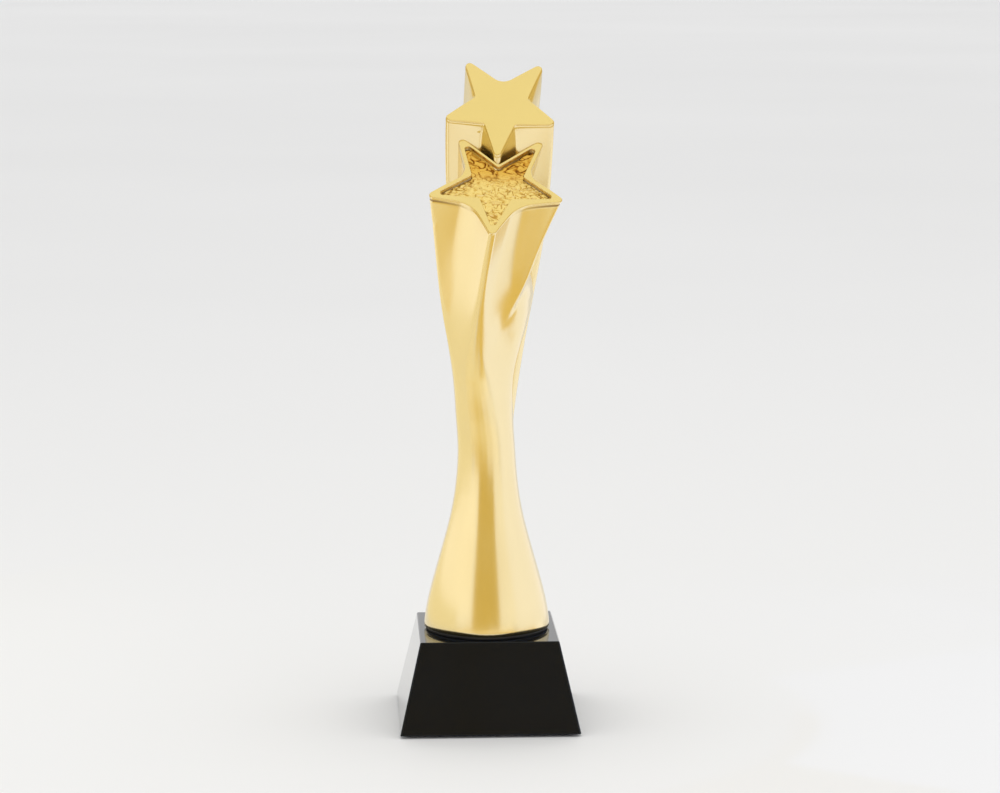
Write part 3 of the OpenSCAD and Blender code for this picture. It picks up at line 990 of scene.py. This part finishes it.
# Painted reflection and shade: the upper share mixes the upper arms towards the deeper gold.
upper_arms = node("Attribute", attribute_name="upper").outputs["Fac"]
pale, upper_painted_shade = ramp(node, in_cuts, PALE_STOPS), ramp(node, in_cuts, PAINTED_SHADE_STOPS)
cut_tone_and_painted_shade = node("MixRGB", {"Fac": upper_arms, "Color1": pale, "Color2": upper_painted_shade})
wire(cut_tone_and_painted_shade.outputs["Color"], "Base Color")
speck = mottle(node, 1500, 2)
vary_gloss(node, wire, speck, 0.22, 0.36)
raise_grain(node, wire, speck, 0.1, 0.0002)
shader.inputs["Metallic"].default_value = 1
hammered_panel.data.materials.append(hammered_gold)

# %% [markdown]
# ### Black crystal
#
# The block is black optical crystal, and its depth is all in its polish. Clear glass over a black
# core would be slow to render and look no truer, so it is nearly black under a clear coat, with a
# trace of smudge in its gloss.

# %% Polish the block
black_crystal, shader, node, wire = finish("black_crystal")
smudge = mottle(node, 30, 5)
black = ramp(node, smudge, [(0.35, (0.001, 0.003, 0.0075)), (0.7, (0.002, 0.0045, 0.0105))])
wire(black, "Base Color")
vary_gloss(node, wire, smudge, 0.02, 0.07)
shader.inputs["IOR"].default_value = 1.2
shader.inputs["Coat Weight"].default_value = 1
shader.inputs["Coat IOR"].default_value = 1.2

# %% [markdown]
# ### Rubber, felt, metal and fibre
#
# These show as a dark line, or only when the trophy is lifted or taken apart, so they are kept
# simple, but not flat: rubber has a grey bloom, felt a nap that catches the light, a lathe leaves
# fine rings on metal, and pressed fibre shows its threads.

# %% Black rubber
black_rubber, shader, node, wire = finish("black_rubber")
bloom = mottle(node, 120, 4)
grey = ramp(node, bloom, [(0.3, (0.012, 0.012, 0.013)), (0.75, (0.03, 0.03, 0.032))])
wire(grey, "Base Color")
vary_gloss(node, wire, bloom, 0.5, 0.75)
gasket.data.materials.append(black_rubber)

# %% Black-grey felt
felt, shader, node, wire = finish("felt")
nap = mottle(node, 600, 6, Roughness=0.7)
grey = ramp(node, nap, [(0.3, (0.025, 0.025, 0.028)), (0.7, (0.075, 0.075, 0.08))])
wire(grey, "Base Color")
raise_grain(node, wire, nap, 0.6, 0.0004)
shader.inputs["Roughness"].default_value = 0.95
shader.inputs["Sheen Weight"].default_value = 0.3
felt_sheet.data.materials.append(felt)

# %% Turned and plated metal


def turned_metal(name, dark, light):
    """Bare metal with the fine rings that a lathe leaves round the upright axis."""
    material, shader, node, wire = finish(name)
    place = node("TexCoord").outputs["Object"]
    waves = {"Vector": place, "Scale": 900, "Distortion": 1.5}
    rings = node("TexWave", waves, bands_direction="Z").outputs["Fac"]
    wear = mottle(node, 250, 4)
    wire(ramp(node, wear, [(0.3, dark), (0.7, light)]), "Base Color")
    vary_gloss(node, wire, wear, 0.25, 0.4)
    raise_grain(node, wire, rings, 0.15, 0.0001)
    shader.inputs["Metallic"].default_value = 1
    return material


zinc_steel = turned_metal("zinc_steel", (0.52, 0.53, 0.56), (0.66, 0.67, 0.69))
turned_brass = turned_metal("turned_brass", (0.62, 0.45, 0.18), (0.76, 0.58, 0.28))

# %% Red fibre
red_fibre, shader, node, wire = finish("red_fibre")
threads = mottle(node, 700, 5)
red = ramp(node, threads, [(0.3, (0.30, 0.08, 0.06)), (0.7, (0.44, 0.14, 0.10))])
wire(red, "Base Color")
raise_grain(node, wire, threads, 0.3, 0.0002)
shader.inputs["Roughness"].default_value = 0.7

# %% Finishes of the kept solids
STEEL_NODES = ("column_dowels", "clamp_stud", "steel_washer", "spring_washer", "hex_nut")
kept = {name: zinc_steel for name in STEEL_NODES}
kept |= {"base_block": black_crystal, "threaded_insert": turned_brass, "fibre_washer": red_fibre}
for name, material in kept.items():
    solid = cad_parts[name]
    for k in range(len(solid.data.materials)):
        solid.data.materials[k] = material
print("solids kept as they are:", ", ".join(sorted(kept)))

# %% [markdown]
# ## Studio
#
# Polished gold shows the room more than itself. A photographer stands white silks and sheets of
# gilt paper round such a piece, so that some facets glow and others go deep. The same is done here:
# a plain floor, an even pale room and one soft lamp light the trophy, and cards that only the
# reflections can see stand where each facet looks. Each card is a short line swept round the
# trophy, so a bearing, a radius and a height are enough to place it.

# %% Floor
FLOOR_HALF = 30
FLOOR_DROP = 0.2 * MM
floor_grid = bmesh.new()
bmesh.ops.create_grid(floor_grid, x_segments=4, y_segments=4, size=FLOOR_HALF)
floor = in_scene("floor", floor_grid)
floor.location.z = -FLOOR_DROP
pale_floor, shader, node, wire = finish("pale_floor")
tone = ramp(node, mottle(node, 0.7, 3), [(0.3, (0.85, 0.85, 0.85)), (0.7, (0.88, 0.88, 0.88))])
wire(tone, "Base Color")
shader.inputs["Roughness"].default_value = 0.8
floor.data.materials.append(pale_floor)

# %% Room
ROOM_LIGHT = 0.9
world = bpy.data.worlds.new("studio_walls")
bpy.context.scene.world = world
world.use_nodes = True
world.node_tree.nodes["Background"].inputs["Color"].default_value = (ROOM_LIGHT,) * 3 + (1,)
print("light of the room:", ROOM_LIGHT)

# %% Lamp over the table
LAMP_LIGHT = 5
LAMP_WIDTH, LAMP_DEPTH = 1.6, 1.4
LAMP_PLACE = (0, -0.2, 2)
lamp_data = bpy.data.lights.new("top_box", "AREA")
lamp_data.shape = "RECTANGLE"
lamp_data.size, lamp_data.size_y = LAMP_WIDTH, LAMP_DEPTH
lamp_data.energy = LAMP_LIGHT
lamp = bpy.data.objects.new("top_box", lamp_data)
lamp.location = LAMP_PLACE
lamp.visible_camera = lamp.visible_glossy = False
bpy.context.scene.collection.objects.link(lamp)
print("lamp:", LAMP_LIGHT, "W,", LAMP_PLACE[2], "m up")

# %% A card swept round the trophy
CARD_STEPS = 24


def card(name, middle, sweep, inner, outer, material):
    """A sheet seen only in reflections: a line from (radius, height) to (radius, height), swept
    round the trophy. Its middle is a bearing in degrees, 0 in front and 90 on the right."""
    bm = bmesh.new()
    start = ray(FRONT_ARM + radians(middle - sweep / 2))
    ends = [bm.verts.new((start * r).to_3d() + Vector((0, 0, z))) for r, z in (inner, outer)]
    line = [*ends, bm.edges.new(ends)]
    turn = radians(sweep)
    bmesh.ops.spin(bm, geom=line, cent=(0, 0, 0), axis=(0, 0, 1), angle=turn, steps=CARD_STEPS)
    sheet = in_scene(name, bm)
    sheet.data.materials.append(material)
    sheet.visible_camera = sheet.visible_diffuse = sheet.visible_shadow = False


# %% Gilt paper and lit silks
SILK_SHADE = 0.97


def lit_silk(name, colour):
    """A cloth lit from behind."""
    material, shader, node, wire = finish(name)
    shade = [SILK_SHADE * c for c in colour]
    wire(ramp(node, mottle(node, 3, 2), [(0.3, shade), (0.7, colour)]), "Emission Color")
    shader.inputs["Base Color"].default_value = (0, 0, 0, 1)
    shader.inputs["Emission Strength"].default_value = 1
    return material


gilt_paper, shader, node, wire = finish("gilt_paper")
gilt = ramp(node, mottle(node, 3, 2), [(0.3, (0.86, 0.65, 0.18)), (0.7, (0.89, 0.68, 0.2))])
wire(gilt, "Base Color")
shader.inputs["Roughness"].default_value = 0.7
bright_silk = lit_silk("bright_silk", (1.22, 1.2, 1.15))
white_silk = lit_silk("white_silk", (1.12, 1.12, 1.12))
cool_silk = lit_silk("cool_silk", (1.12, 1.15, 1.28))
warm_silk = lit_silk("warm_silk", (1.01, 0.945, 0.70))
top_silk = lit_silk("top_silk", (1.03, 0.97, 0.62))

# %% Cards on the floor
UNDER_CARD, OVER_CARD = 0.002, 0.003
FLOOR_CARDS = (  # name, middle, sweep, inner radius, outer radius, height, material
    ("facet_left", -43, 46, 0.57, 0.82, UNDER_CARD, gilt_paper),
    ("facet_ridge", 1, 52, 0.15, 0.265, UNDER_CARD, gilt_paper),
    ("facet_right_top", 18, 16, 0.33, 0.46, OVER_CARD, gilt_paper),
    ("facet_right", 39, 26, 0.14, 0.46, OVER_CARD, gilt_paper),
    ("facet_right_low", 71, 38, 0.14, 0.33, OVER_CARD, gilt_paper),
    ("floor_front", -29, 78, 0.28, 0.57, UNDER_CARD, warm_silk),
    ("floor_gap", 15, 70, 0.46, 0.82, UNDER_CARD, warm_silk),
    ("floor_left", -24, 52, 0.82, 3.3, OVER_CARD, gilt_paper),
    ("floor_middle", 26, 48, 0.82, 1.6, OVER_CARD, white_silk),
    ("floor_right", 85, 60, 0.15, 0.34, UNDER_CARD, cool_silk),
)
for name, middle, sweep, inner, outer, height, material in FLOOR_CARDS:
    card(name, middle, sweep, (inner, height), (outer, height), material)
print("cards on the floor:", len(FLOOR_CARDS))

# %% Cards that stand round the trophy
STANDING_CARDS = (  # name, middle, sweep, radius, lower edge, upper edge, material
    ("left_low", -107, 86, 0.40, 0, 0.10, warm_silk),
    ("left_high", -96, 108, 0.40, 0.10, 0.24, bright_silk),
    ("right_side", 98, 84, 0.34, 0, 0.24, cool_silk),
    ("near_strip", 0, 60, 0.30, 0.235, 0.36, white_silk),
    ("left_panel", -50, 30, 2.4, 0, 1.1, white_silk),
    ("right_panel", 46, 38, 2.4, 0, 1.1, white_silk),
    ("wall_card", 0, 220, 3.4, 0, 3.6, gilt_paper),
)
for name, middle, sweep, radius, low, high, material in STANDING_CARDS:
    card(name, middle, sweep, (radius, low), (radius, high), material)
TOP_HOLE, TOP_R, TOP_Z = 0.01, 0.8, 1.0
card("top_card", 0, 360, (TOP_HOLE, TOP_Z), (TOP_R, TOP_Z), top_silk)
print("cards that stand or hang:", len(STANDING_CARDS) + 1)

# %% [markdown]
# ## Camera
#
# The trophy is seen through a long lens, from a little above and a hair to the left. The view could
# be set by eye, but the block's straight edges give it away: how they run together tells the height
# and the distance, and their place in the frame tells the lens and where it points.

# %% Place the camera
AZIMUTH, ELEVATION = radians(-2.861), radians(8.861)
DISTANCE = 1.4
LENS_MM = 112.98
AIM = Vector((5.956 * MM, 0, 145.94 * MM))
back = Vector((sin(AZIMUTH) * cos(ELEVATION), -cos(AZIMUTH) * cos(ELEVATION), sin(ELEVATION)))
camera_data = bpy.data.cameras.new("camera")
camera_data.lens = LENS_MM
camera = bpy.data.objects.new("camera", camera_data)
camera.location = AIM + back * DISTANCE
camera.rotation_mode = "QUATERNION"
camera.rotation_quaternion = (-back).to_track_quat("-Z", "Y")
bpy.context.scene.collection.objects.link(camera)
bpy.context.scene.camera = camera
bpy.context.scene.view_settings.view_transform = "Standard"
print("camera in mm:", in_mm(camera.location))
